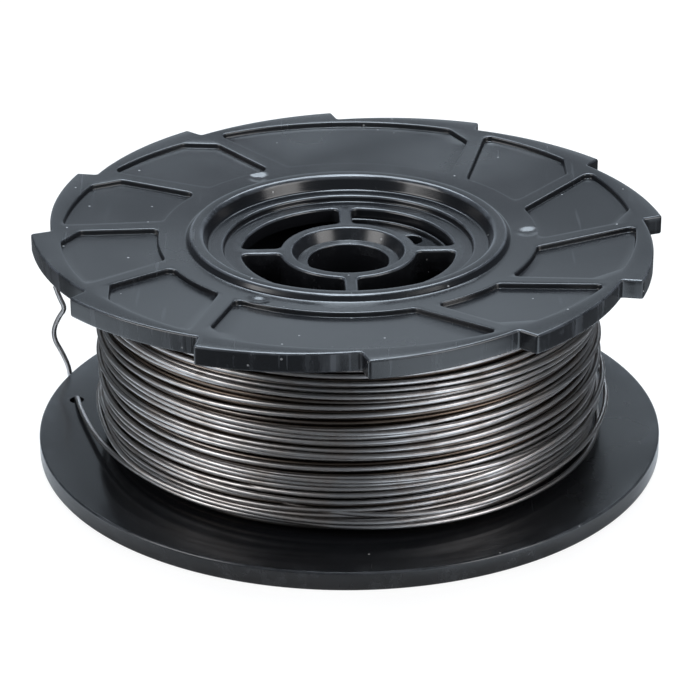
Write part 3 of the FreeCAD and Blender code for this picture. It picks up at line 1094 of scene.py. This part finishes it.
    def build_core(self) -> bpy.types.Object:
        """Makes the wound core: a turned section whose outside is a row of half-round turns."""
        surface = Surface()
        top = float(self.ceiling(self.core_r)) + self.wire_r
        rows = np.linspace(self.floor_z, top, 280)
        ripple = 0.35 * np.abs(np.sin((rows - self.floor_z) * math.pi / self.close_pitch))
        outside = np.stack([self.core_r + ripple, rows], axis=-1)
        inner_top = float(self.ceiling(self.drum_r)) + self.wire_r
        corner = [[self.drum_r, inner_top]]
        section = np.concatenate([corner, [[self.drum_r, self.floor_z]], outside, corner])
        azimuth = np.arange(96) * 360 / 96
        surface.add(polar(section[:, :1], azimuth[None], section[:, 1:]), closed=True)
        return surface.build("wire_core", sharp=80)

    def build(self) -> list[bpy.types.Object]:
        """Makes the core and the turns over it."""
        rng = np.random.default_rng(SEED)
        layers = [self.build_layer(layer, rng) for layer in (self.middle, self.upper)]
        return [self.build_core(), self.build_close(rng), self.build_loose()] + layers


@dataclass
class WireEnd:
    """Free end of the wire: round the winding, down its hole and up outside the rim."""

    winding_r: float = 38.4
    hole_at: float = 43.9
    hole_azimuth: float = 170.3
    rise_at: float = 49.3
    rise_azimuth: float = 157.0
    diameter: float = 0.8
    length: float = 98.5
    along_winding: tuple[tuple[float, float, float], ...] = (
        (0.55, 267.0, 5.35), (0.95, 250.0, 5.8), (0.90, 232.0, 5.75), (0.85, 215.0, 5.85),
        (0.95, 200.0, 5.1), (1.90, 187.5, 4.1), (3.90, 177.0, 3.95))
    up_outside: tuple[tuple[float, float], ...] = (
        (0.00, 0.55), (0.10, 3.0), (1.30, 5.6), (2.55, 7.5), (2.60, 9.6), (1.40, 12.0),
        (0.25, 13.5), (1.30, 15.4), (1.90, 17.2))

    def route(self) -> np.ndarray:
        """Points of the route, in metres.

        Returns:
            Array of shape (n, 3): along the winding, through the hole, under the flange and up.
        """
        wound = [polar(self.winding_r + out, azimuth, z) for out, azimuth, z in self.along_winding]
        hole = [polar(self.hole_at, self.hole_azimuth, z) for z in (4.1, 0.55)]
        under = [polar(self.rise_at - 3.10, 163.0, 0.55)]
        rise = [polar(self.rise_at + out, self.rise_azimuth, z) for out, z in self.up_outside]
        return np.array(wound + hole + under + rise) * MM

    def build(self) -> bpy.types.Object:
        points = self.route()
        curve = bpy.data.curves.new("wire_free_end", "CURVE")
        curve.dimensions = "3D"
        curve.bevel_depth = self.diameter / 2 * MM
        curve.bevel_resolution = 4
        curve.use_fill_caps = True
        spline = curve.splines.new("NURBS")
        spline.points.add(len(points) - 1)
        spline.points.foreach_set("co", np.concatenate([points, np.ones((len(points), 1))], axis=1).ravel())
        spline.order_u = 3
        spline.use_endpoint_u = True
        spline.resolution_u = 12
        made = bpy.data.objects.new("wire_free_end", curve)
        bpy.context.scene.collection.objects.link(made)
        return made


# Finishes


class Nodes:
    """Short ways to fill a node tree."""

    def __init__(self, tree: bpy.types.NodeTree) -> None:
        """Takes a tree and empties it."""
        self.tree = tree
        tree.nodes.clear()

    def add(self, kind: str, inputs: dict[str | int, object] | None = None, **settings: object) -> bpy.types.Node:
        """Adds a node.

        Args:
            kind: node type's name.
            inputs: socket name or number to a value or to another node's output.
            settings: properties of the node.

        Returns:
            The new node.
        """
        node = self.tree.nodes.new(kind)
        for key, value in settings.items():
            setattr(node, key, value)
        for key, value in (inputs or {}).items():
            if isinstance(value, bpy.types.NodeSocket):
                self.tree.links.new(value, node.inputs[key])
            else:
                node.inputs[key].default_value = value
        return node

    def math(self, operation: str, a: object, b: object = 0.0, clamp: bool = False) -> bpy.types.NodeSocket:
        """Result of a Math node."""
        return self.add("ShaderNodeMath", {0: a, 1: b}, operation=operation, use_clamp=clamp).outputs[0]

    def mix(self, share: object, a: object, b: object) -> bpy.types.NodeSocket:
        """Colour mixed from a to b by a share."""
        node = self.add("ShaderNodeMix", data_type="RGBA", clamp_factor=True)
        for socket, value in ((node.inputs[0], share), (node.inputs[6], a), (node.inputs[7], b)):
            if isinstance(value, bpy.types.NodeSocket):
                self.tree.links.new(value, socket)
            else:
                socket.default_value = value
        return node.outputs[2]

    def ramp(self, value: object, low: float, high: float, to_low: float = 0.0,
             to_high: float = 1.0) -> bpy.types.NodeSocket:
        """Value carried smoothly from one range to another."""
        node = self.add("ShaderNodeMapRange", {"Value": value, "From Min": low, "From Max": high,
                                               "To Min": to_low, "To Max": to_high},
                        interpolation_type="SMOOTHSTEP")
        return node.outputs["Result"]


def new_group(name: str, inputs: dict[str, float], outputs: Sequence[str]) -> tuple[bpy.types.NodeTree, Nodes, bpy.types.Node, bpy.types.Node]:
    """Starts a shader node group.

    Args:
        name: the group's name.
        inputs: float inputs and their defaults.
        outputs: float outputs.

    Returns:
        The group, its node helper, its input node and its output node.
    """
    group = bpy.data.node_groups.new(name, "ShaderNodeTree")
    group.interface.new_socket("Vector", in_out="INPUT", socket_type="NodeSocketVector")
    for key, value in inputs.items():
        socket = group.interface.new_socket(key, in_out="INPUT", socket_type="NodeSocketFloat")
        socket.default_value = value
    for key in outputs:
        group.interface.new_socket(key, in_out="OUTPUT", socket_type="NodeSocketFloat")
    nodes = Nodes(group)
    return group, nodes, nodes.add("NodeGroupInput"), nodes.add("NodeGroupOutput")


def grain_group() -> bpy.types.NodeTree:
    """Fine grain of a moulded or drawn surface: two sizes of noise added."""
    group, nodes, given, out = new_group("fine_grain", {"Scale": 900.0, "Coarse share": 0.5}, ["Height"])
    fine = nodes.add("ShaderNodeTexNoise", {"Vector": given.outputs["Vector"], "Scale": given.outputs["Scale"],
                                            "Detail": 3.0, "Roughness": 0.6})
    wide = nodes.math("MULTIPLY", given.outputs["Scale"], 0.17)
    coarse = nodes.add("ShaderNodeTexNoise", {"Vector": given.outputs["Vector"], "Scale": wide, "Detail": 2.0})
    part = nodes.math("MULTIPLY", coarse.outputs["Fac"], given.outputs["Coarse share"])
    total = nodes.math("ADD", fine.outputs["Fac"], part)
    nodes.tree.links.new(total, out.inputs["Height"])
    return group


def dust_group() -> bpy.types.NodeTree:
    """Sparse specks of dust: small cells of a Voronoi pattern, thinned by noise."""
    group, nodes, given, out = new_group("dust_specks", {"Scale": 420.0, "Size": 0.1, "Amount": 0.5}, ["Mask"])
    cells = nodes.add("ShaderNodeTexVoronoi", {"Vector": given.outputs["Vector"], "Scale": given.outputs["Scale"]})
    near = nodes.math("LESS_THAN", cells.outputs["Distance"], given.outputs["Size"])
    pick = nodes.add("ShaderNodeSeparateColor", {"Color": cells.outputs["Color"]})
    some = nodes.math("LESS_THAN", pick.outputs["Red"], given.outputs["Amount"])
    both = nodes.math("MULTIPLY", near, some)
    nodes.tree.links.new(both, out.inputs["Mask"])
    return group


def scratch_group() -> bpy.types.NodeTree:
    """Fine scratches: noise drawn out along one direction, kept where it peaks."""
    group, nodes, given, out = new_group("fine_scratches", {"Scale": 700.0, "Amount": 0.5}, ["Mask"])
    drawn = nodes.add("ShaderNodeTexNoise", {"Vector": given.outputs["Vector"], "Scale": given.outputs["Scale"],
                                             "Detail": 2.0, "Roughness": 0.5})
    patch = nodes.add("ShaderNodeTexNoise", {"Vector": given.outputs["Vector"], "Scale": 60.0, "Detail": 1.0})
    level = nodes.math("SUBTRACT", 0.78, nodes.math("MULTIPLY", given.outputs["Amount"], 0.15))
    line = nodes.ramp(drawn.outputs["Fac"], 0.0, 1.0)
    peak = nodes.math("GREATER_THAN", line, level)
    held = nodes.math("MULTIPLY", peak, nodes.ramp(patch.outputs["Fac"], 0.45, 0.62))
    nodes.tree.links.new(held, out.inputs["Mask"])
    return group


def wear_and_highlight_group() -> bpy.types.NodeTree:
    """Rubbed edges with a painted highlight: how far a point lies on a rounded edge, broken up by noise."""
    group, nodes, given, out = new_group("edge_wear_and_highlight", {"Edge share": 0.0, "Scale": 160.0}, ["Mask"])
    noise = nodes.add("ShaderNodeTexNoise", {"Vector": given.outputs["Vector"], "Scale": given.outputs["Scale"],
                                             "Detail": 4.0, "Roughness": 0.65})
    rubbed_and_sheen = nodes.ramp(noise.outputs["Fac"], 0.35, 0.6, 0.25, 1.0)
    total = nodes.math("MULTIPLY", given.outputs["Edge share"], rubbed_and_sheen, clamp=True)
    nodes.tree.links.new(total, out.inputs["Mask"])
    return group


def radius_group() -> bpy.types.NodeTree:
    """Distance from the reel's axis, in metres: the length of a point's X and Y."""
    group, nodes, given, out = new_group("axis_distance", {}, ["Radius"])
    axes = nodes.add("ShaderNodeSeparateXYZ", {"Vector": given.outputs["Vector"]})
    squares = nodes.math("ADD", nodes.math("POWER", axes.outputs["X"], 2.0),
                         nodes.math("POWER", axes.outputs["Y"], 2.0))
    nodes.tree.links.new(nodes.math("SQRT", squares), out.inputs["Radius"])
    return group


@dataclass(frozen=True)
class MouldedPlastic:
    """Black moulded plastic with a satin skin, rubbed edges that also carry a painted highlight, scuffed rim, dust,
    and a painted reflection of the table on the lower flange's outer band.
    """

    colour: tuple[float, float, float, float] = (0.0075, 0.008, 0.0095, 1.0)
    # The rubbed colour is shared by real wear, scratches, smears and the hub, and by the painted edge highlight and
    # the painted table reflection.
    rubbed_and_sheen: tuple[float, float, float, float] = (0.085, 0.09, 0.1, 1.0)
    dust: tuple[float, float, float, float] = (0.3, 0.3, 0.3, 1.0)
    roughness: float = 0.2
    ior: float = 1.5
    smears_from: float = 0.0331
    rim_from: float = 0.044
    hub_from: float = 0.0285
    hub_to: float = 0.0162
    sheen_from: float = 0.0452
    sheen_full: float = 0.0476

    def lines(self, nodes: Nodes, where: bpy.types.NodeSocket, groups: dict[str, bpy.types.NodeTree],
              scale: tuple[float, float, float], amount: float) -> bpy.types.NodeSocket:
        """Scratches drawn out along the direction in which the pattern is stretched."""
        drawn = nodes.add("ShaderNodeMapping", {"Vector": where, "Scale": scale})
        scratch = nodes.add("ShaderNodeGroup", {"Vector": drawn.outputs[0]}, node_tree=groups["scratch"])
        scratch.inputs["Amount"].default_value = amount
        return scratch.outputs[0]

    def make(self, groups: dict[str, bpy.types.NodeTree]) -> bpy.types.Material:
        """Makes the material.

        Args:
            groups: the shared node groups by name.

        Returns:
            The material, all on Object coordinates and the mesh's rounded-edge attribute.
        """
        made = bpy.data.materials.new("moulded_black_plastic")
        made.use_nodes = True
        nodes = Nodes(made.node_tree)
        where = nodes.add("ShaderNodeTexCoord").outputs["Object"]
        edge_share = nodes.add("ShaderNodeAttribute", attribute_name="edge_share").outputs["Fac"]
        facing = nodes.add("ShaderNodeNewGeometry").outputs["Normal"]
        lean = nodes.math("ABSOLUTE", nodes.add("ShaderNodeSeparateXYZ", {"Vector": facing}).outputs["Z"])
        height = nodes.add("ShaderNodeSeparateXYZ", {"Vector": where}).outputs["Z"]
        away = nodes.add("ShaderNodeGroup", {"Vector": where}, node_tree=groups["radius"]).outputs[0]
        upper = nodes.math("GREATER_THAN", height, self.smears_from)
        upper_hub = nodes.math("GREATER_THAN", height, self.hub_from)
        outside = nodes.math("MULTIPLY", upper, nodes.math("GREATER_THAN", away, self.rim_from))
        on_rim = nodes.math("MULTIPLY", nodes.math("LESS_THAN", lean, 0.4), outside)
        grain = nodes.add("ShaderNodeGroup", {"Vector": where}, node_tree=groups["grain"])
        grain.inputs["Scale"].default_value = 2600.0
        grain.inputs["Coarse share"].default_value = 0.6
        upright = nodes.math("MULTIPLY", self.lines(nodes, where, groups, (1.3, 1.3, 0.1), 0.8), on_rim)
        tall = nodes.add("ShaderNodeMapping", {"Vector": where, "Scale": (1.0, 1.0, 0.22)})
        rub = nodes.add("ShaderNodeTexNoise", {"Vector": tall.outputs[0], "Scale": 210.0, "Detail": 5.0,
                                               "Roughness": 0.62})
        smear = nodes.math("MULTIPLY", nodes.ramp(rub.outputs["Fac"], 0.5, 0.74), on_rim)
        slanted = self.lines(nodes, where, groups, (2.2, 0.09, 1.0), 0.15)
        scratches = nodes.math("MAXIMUM", upright, nodes.math("MULTIPLY", slanted, 0.25))
        wear_highlight = nodes.add("ShaderNodeGroup", {"Vector": where, "Edge share": edge_share}, node_tree=groups["wear_highlight"])
        specks = nodes.add("ShaderNodeGroup", {"Vector": where}, node_tree=groups["dust"])
        specks.inputs["Size"].default_value = 0.075
        specks.inputs["Amount"].default_value = 0.2
        mottle = nodes.add("ShaderNodeTexNoise", {"Vector": where, "Scale": 260.0, "Detail": 5.0, "Roughness": 0.7})
        # Painted reflection: below the upper flange's face and from 45.2 mm out, mottled patches are lightened
        # towards the rubbed colour in place of the white table's reflection on the lower flange and its rim.
        sheen_band = nodes.math("MULTIPLY", nodes.ramp(away, self.sheen_from, self.sheen_full), nodes.math(
            "SUBTRACT", 1.0, upper))
        table_sheen = nodes.math("MULTIPLY", sheen_band, nodes.ramp(mottle.outputs["Fac"], 0.42, 0.7))
        # Rounded edges are lightened towards the rubbed colour: partly real wear, partly a painted highlight along
        # the edges.
        colour = nodes.mix(nodes.math("MULTIPLY", wear_highlight.outputs[0], 0.6), self.colour, self.rubbed_and_sheen)
        colour = nodes.mix(nodes.math("MULTIPLY", table_sheen, 0.22), colour, self.rubbed_and_sheen)
        colour = nodes.mix(nodes.math("MULTIPLY", scratches, 0.5), colour, self.rubbed_and_sheen)
        colour = nodes.mix(nodes.math("MULTIPLY", smear, 0.55), colour, self.rubbed_and_sheen)
        colour = nodes.mix(nodes.math("MULTIPLY", specks.outputs[0], 0.7), colour, self.dust)
        hub = nodes.math("MULTIPLY", nodes.math("LESS_THAN", away, self.hub_to), upper_hub)
        colour = nodes.mix(nodes.math("MULTIPLY", hub, nodes.ramp(mottle.outputs["Fac"], 0.4, 0.75, 0.0, 0.15)),
                           colour, self.rubbed_and_sheen)
        cloud = nodes.add("ShaderNodeTexNoise", {"Vector": where, "Scale": 38.0, "Detail": 5.0})
        rough = nodes.ramp(cloud.outputs["Fac"], 0.3, 0.7, self.roughness - 0.05, self.roughness + 0.08)
        rough = nodes.math("ADD", rough, nodes.math("MULTIPLY", hub, 0.03))
        rough = nodes.math("ADD", rough, nodes.math("MULTIPLY", nodes.math("MAXIMUM", scratches, smear), 0.2))
        bump = nodes.add("ShaderNodeBump", {"Strength": 0.12, "Distance": 0.00003, "Height": grain.outputs[0]})
        cut = nodes.add("ShaderNodeBump", {"Strength": 0.3, "Distance": 0.00004, "Height": scratches,
                                           "Normal": bump.outputs[0]}, invert=True)
        shader = nodes.add("ShaderNodeBsdfPrincipled", {"Base Color": colour, "Roughness": rough,
                                                        "IOR": self.ior, "Normal": cut.outputs[0]})
        nodes.add("ShaderNodeOutputMaterial", {"Surface": shader.outputs[0]})
        return made


@dataclass(frozen=True)
class AnnealedSteel:
    """Soft steel wire with a thin grey-brown skin from annealing, and a painted brown shade on the turns below the
    outer ones.
    """

    bright: tuple[float, float, float, float] = (0.42, 0.405, 0.40, 1.0)
    dull: tuple[float, float, float, float] = (0.31, 0.285, 0.27, 1.0)
    gap_shade: tuple[float, float, float, float] = (0.11, 0.085, 0.068, 1.0)
    roughness: float = 0.32
    shade_r: float = 0.0371
    unshaded_r: float = 0.0378

    def make(self, groups: dict[str, bpy.types.NodeTree]) -> bpy.types.Material:
        """Makes the material.

        Args:
            groups: the shared node groups by name.

        Returns:
            The material, on Object coordinates.
        """
        made = bpy.data.materials.new("annealed_steel")
        made.use_nodes = True
        nodes = Nodes(made.node_tree)
        where = nodes.add("ShaderNodeTexCoord").outputs["Object"]
        away = nodes.add("ShaderNodeGroup", {"Vector": where}, node_tree=groups["radius"]).outputs[0]
        skin = nodes.add("ShaderNodeTexNoise", {"Vector": where, "Scale": 220.0, "Detail": 5.0, "Roughness": 0.6})
        share = nodes.ramp(skin.outputs["Fac"], 0.4, 0.7)
        colour = nodes.mix(share, self.bright, self.dull)
        # Painted shade: wire within 37.1 mm of the axis takes the dark brown shade colour, fading out by 37.8 mm, so
        # the under-turns and the core look shaded between the outer turns.
        depth = nodes.ramp(away, self.shade_r, self.unshaded_r)
        colour = nodes.mix(depth, self.gap_shade, colour)
        grain = nodes.add("ShaderNodeGroup", {"Vector": where}, node_tree=groups["grain"])
        grain.inputs["Scale"].default_value = 2600.0
        rough = nodes.ramp(skin.outputs["Fac"], 0.3, 0.75, self.roughness - 0.03, self.roughness + 0.1)
        bump = nodes.add("ShaderNodeBump", {"Strength": 0.05, "Distance": 0.00002, "Height": grain.outputs[0]})
        shader = nodes.add("ShaderNodeBsdfPrincipled", {"Base Color": colour, "Metallic": 1.0,
                                                        "Roughness": rough, "Normal": bump.outputs[0]})
        nodes.add("ShaderNodeOutputMaterial", {"Surface": shader.outputs[0]})
        return made


# Stage


@dataclass
class Studio:
    """White table, bright surroundings with a darker front, soft lamps and the camera."""

    camera_at: tuple[float, float, float] = (0.000173, -0.40910, 0.20927)
    look_down: float = 25.399
    roll: float = 0.306
    lens: float = 150.41
    front_tone: float = 0.2
    side_tone: float = 0.08
    back_low: float = 0.82
    back_high: float = 0.46
    cool: tuple[float, float, float, float] = (0.78, 0.89, 1.0, 1.0)
    table_half: float = 6.0
    table_near: float = 0.8
    table_far: float = 0.1
    table_seen: float = 0.15
    table_glow: float = 0.88
    sheens: tuple[tuple[float, float], ...] = ((202.0, 1.5), (305.0, 2.3))

    def make_camera(self) -> bpy.types.Object:
        """Puts the camera at the photograph's place and angle.

        Its X and Y axes are the level right and the raised up direction, turned by the roll.

        Returns:
            The camera object.
        """
        e, roll = math.radians(self.look_down), math.radians(self.roll)
        ahead = Vector((0, math.cos(e), -math.sin(e)))
        up = Vector((0, math.sin(e), math.cos(e)))
        right = Vector((1, 0, 0))
        x_axis = right * math.cos(roll) - up * math.sin(roll)
        y_axis = right * math.sin(roll) + up * math.cos(roll)
        data = bpy.data.cameras.new("photo_camera")
        data.lens = self.lens
        data.sensor_width = 36.0
        data.clip_start = 0.01
        data.clip_end = 50.0
        made = bpy.data.objects.new("photo_camera", data)
        place = Matrix((x_axis, y_axis, -ahead)).transposed().to_4x4()
        place.translation = Vector(self.camera_at)
        made.matrix_world = place
        bpy.context.scene.collection.objects.link(made)
        bpy.context.scene.camera = made
        return made

    def make_table(self) -> bpy.types.Object:
        """Makes the floor: a pale sheet that takes the shadow and is white to the eye.

        What the reel mirrors of it is pale within 50 mm of the axis and dim beyond 66 mm, but
        for two broad painted sheens, glow for all but camera rays in place of the side lamps'
        reflections: each grows as the cosine of the angle between a point's direction and the sheen's goes from 0.86
        to 0.99.
        """
        half = self.table_half
        mesh = bpy.data.meshes.new("table")
        mesh.from_pydata([(-half, -half, 0), (half, -half, 0), (half, half, 0), (-half, half, 0)], [], [(0, 1, 2, 3)])
        table = bpy.data.objects.new("table", mesh)
        bpy.context.scene.collection.objects.link(table)
        finish = bpy.data.materials.new("white_table")
        finish.use_nodes = True
        nodes = Nodes(finish.node_tree)
        seen = nodes.add("ShaderNodeLightPath").outputs["Is Camera Ray"]
        axes = nodes.add("ShaderNodeSeparateXYZ", {"Vector": nodes.add("ShaderNodeTexCoord").outputs["Object"]})
        x, y = axes.outputs["X"], axes.outputs["Y"]
        away = nodes.math("SQRT", nodes.math("ADD", nodes.math("POWER", x, 2.0), nodes.math("POWER", y, 2.0)))
        # Painted sheens: glow, for all but camera rays, in place of the side lamps' reflections on the table.
        sheens = []
        for azimuth, strength in self.sheens:
            c, s = math.cos(math.radians(azimuth)), math.sin(math.radians(azimuth))
            along = nodes.math("ADD", nodes.math("MULTIPLY", x, c), nodes.math("MULTIPLY", y, s))
            cosine = nodes.math("DIVIDE", along, nodes.math("MAXIMUM", away, 0.001))
            sheens.append(nodes.ramp(cosine, 0.86, 0.99, 0.0, strength))
        far = nodes.ramp(away, 0.05, 0.066)
        unseen = nodes.math("SUBTRACT", 1.0, seen)
        shine = nodes.math("MULTIPLY", nodes.math("ADD", *sheens), nodes.math("MULTIPLY", far, unseen))
        lit = nodes.ramp(far, 0.0, 1.0, self.table_near, self.table_far)
        tone = nodes.mix(seen, lit, (self.table_seen, self.table_seen, self.table_seen, 1.0))
        matt = nodes.add("ShaderNodeBsdfDiffuse", {"Color": tone})
        glow = nodes.add("ShaderNodeEmission", {"Color": nodes.mix(seen, self.cool, (1.0, 1.0, 1.0, 1.0)),
                                                "Strength": nodes.math(
                                                    "ADD", nodes.math("MULTIPLY", seen, self.table_glow),
                                                    shine)})
        both = nodes.add("ShaderNodeAddShader", {0: matt.outputs[0], 1: glow.outputs[0]})
        nodes.add("ShaderNodeOutputMaterial", {"Surface": both.outputs[0]})
        mesh.materials.append(finish)
        return table

    def make_world(self) -> None:
        """Makes the surroundings: white to the eye, and to the reel bright low behind it, dim in front."""
        world = bpy.data.worlds.new("surroundings")
        bpy.context.scene.world = world
        world.use_nodes = True
        nodes = Nodes(world.node_tree)
        way = nodes.add("ShaderNodeTexCoord").outputs["Generated"]
        axes = nodes.add("ShaderNodeSeparateXYZ", {"Vector": way})
        back = nodes.ramp(axes.outputs["Z"], 0.26, 0.4, self.back_low, self.back_high)
        middle = nodes.ramp(nodes.math("ABSOLUTE", axes.outputs["X"]), 0.22, 0.6, 1.0, 0.0)
        behind = nodes.math("MULTIPLY", middle, nodes.ramp(axes.outputs["Y"], 0.2, 0.6))
        round_it = nodes.ramp(axes.outputs["Y"], -0.4, 0.2, self.front_tone, self.side_tone)
        tone = nodes.math("ADD", round_it, nodes.math("MULTIPLY", behind, back))
        seen = nodes.add("ShaderNodeLightPath").outputs["Is Camera Ray"]
        strength = nodes.math("MAXIMUM", tone, seen)
        colour = nodes.mix(seen, self.cool, (1.0, 1.0, 1.0, 1.0))
        sky = nodes.add("ShaderNodeBackground", {"Color": colour, "Strength": strength})
        nodes.add("ShaderNodeOutputWorld", {"Surface": sky.outputs[0]})

    def make_lamp(self, name: str, place: tuple[float, float, float], size: float, power: float,
                  colour: tuple[float, float, float]) -> None:
        """Adds a soft square lamp that faces the reel.

        Args:
            name: the lamp's name.
            place: its position, m.
            size: its side, m.
            power: its power, W.
            colour: its colour.
        """
        data = bpy.data.lights.new(name, "AREA")
        data.shape = "SQUARE"
        data.size = size
        data.energy = power
        data.color = colour
        lamp = bpy.data.objects.new(name, data)
        lamp.location = place
        lamp.rotation_euler = (Vector((0, 0, 0.015)) - Vector(place)).to_track_quat("-Z", "Y").to_euler()
        bpy.context.scene.collection.objects.link(lamp)

    def build(self) -> None:
        """Makes the camera, the table, the surroundings and the lamps."""
        self.make_camera()
        self.make_table()
        self.make_world()
        self.make_lamp("left_softbox", (-0.716, -0.35, 0.46), 0.5, 3.9, (1.0, 0.985, 0.98))
        self.make_lamp("right_softbox", (0.661, -0.446, 0.44), 0.5, 3.7, (1.0, 0.985, 0.98))
        self.make_lamp("top_softbox", (0.0, 0.42, 0.78), 0.6, 9.5, self.cool[:3])
        self.make_lamp("edge_lamp", (0.0, 0.1, 0.9), 0.26, 4.5, self.cool[:3])
        bpy.context.scene.view_settings.view_transform = "Standard"


def dress(pieces: Sequence[bpy.types.Object], finish: bpy.types.Material, node: str) -> None:
    """Gives pieces their finish, hangs them on the body and hides the CAD node that they replace.

    Args:
        pieces: the new objects.
        finish: their material.
        node: the CAD node that they replace.
    """
    for piece in pieces:
        piece.data.materials.clear()
        piece.data.materials.append(finish)
        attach(piece, BODY)
        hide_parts(node)


def report(pieces: Sequence[bpy.types.Object]) -> None:
    """Logs each piece with its face count."""
    for piece in pieces:
        faces = len(piece.data.polygons) if piece.type == "MESH" else 0
        log.info("%s: %d faces", piece.name, faces)


def main() -> None:
    """Builds the reel, the winding, the wire's end and the stage."""
    logging.basicConfig(level=logging.INFO, format="%(name)s %(message)s")
    groups = {"grain": grain_group(), "dust": dust_group(), "scratch": scratch_group(),
              "wear_highlight": wear_and_highlight_group(), "radius": radius_group()}
    plastic = MouldedPlastic().make(groups)
    steel = AnnealedSteel().make(groups)
    Studio().build()
    end = [WireEnd().build()]
    reel = [ReelShell().build()] + ReelHub().build()
    winding = Winding().build()
    dress(reel, plastic, "reel")
    dress(winding, steel, "wire_coil")
    dress(end, steel, "wire_end")
    report(reel + winding + end)


if __name__ == "__main__":
    main()
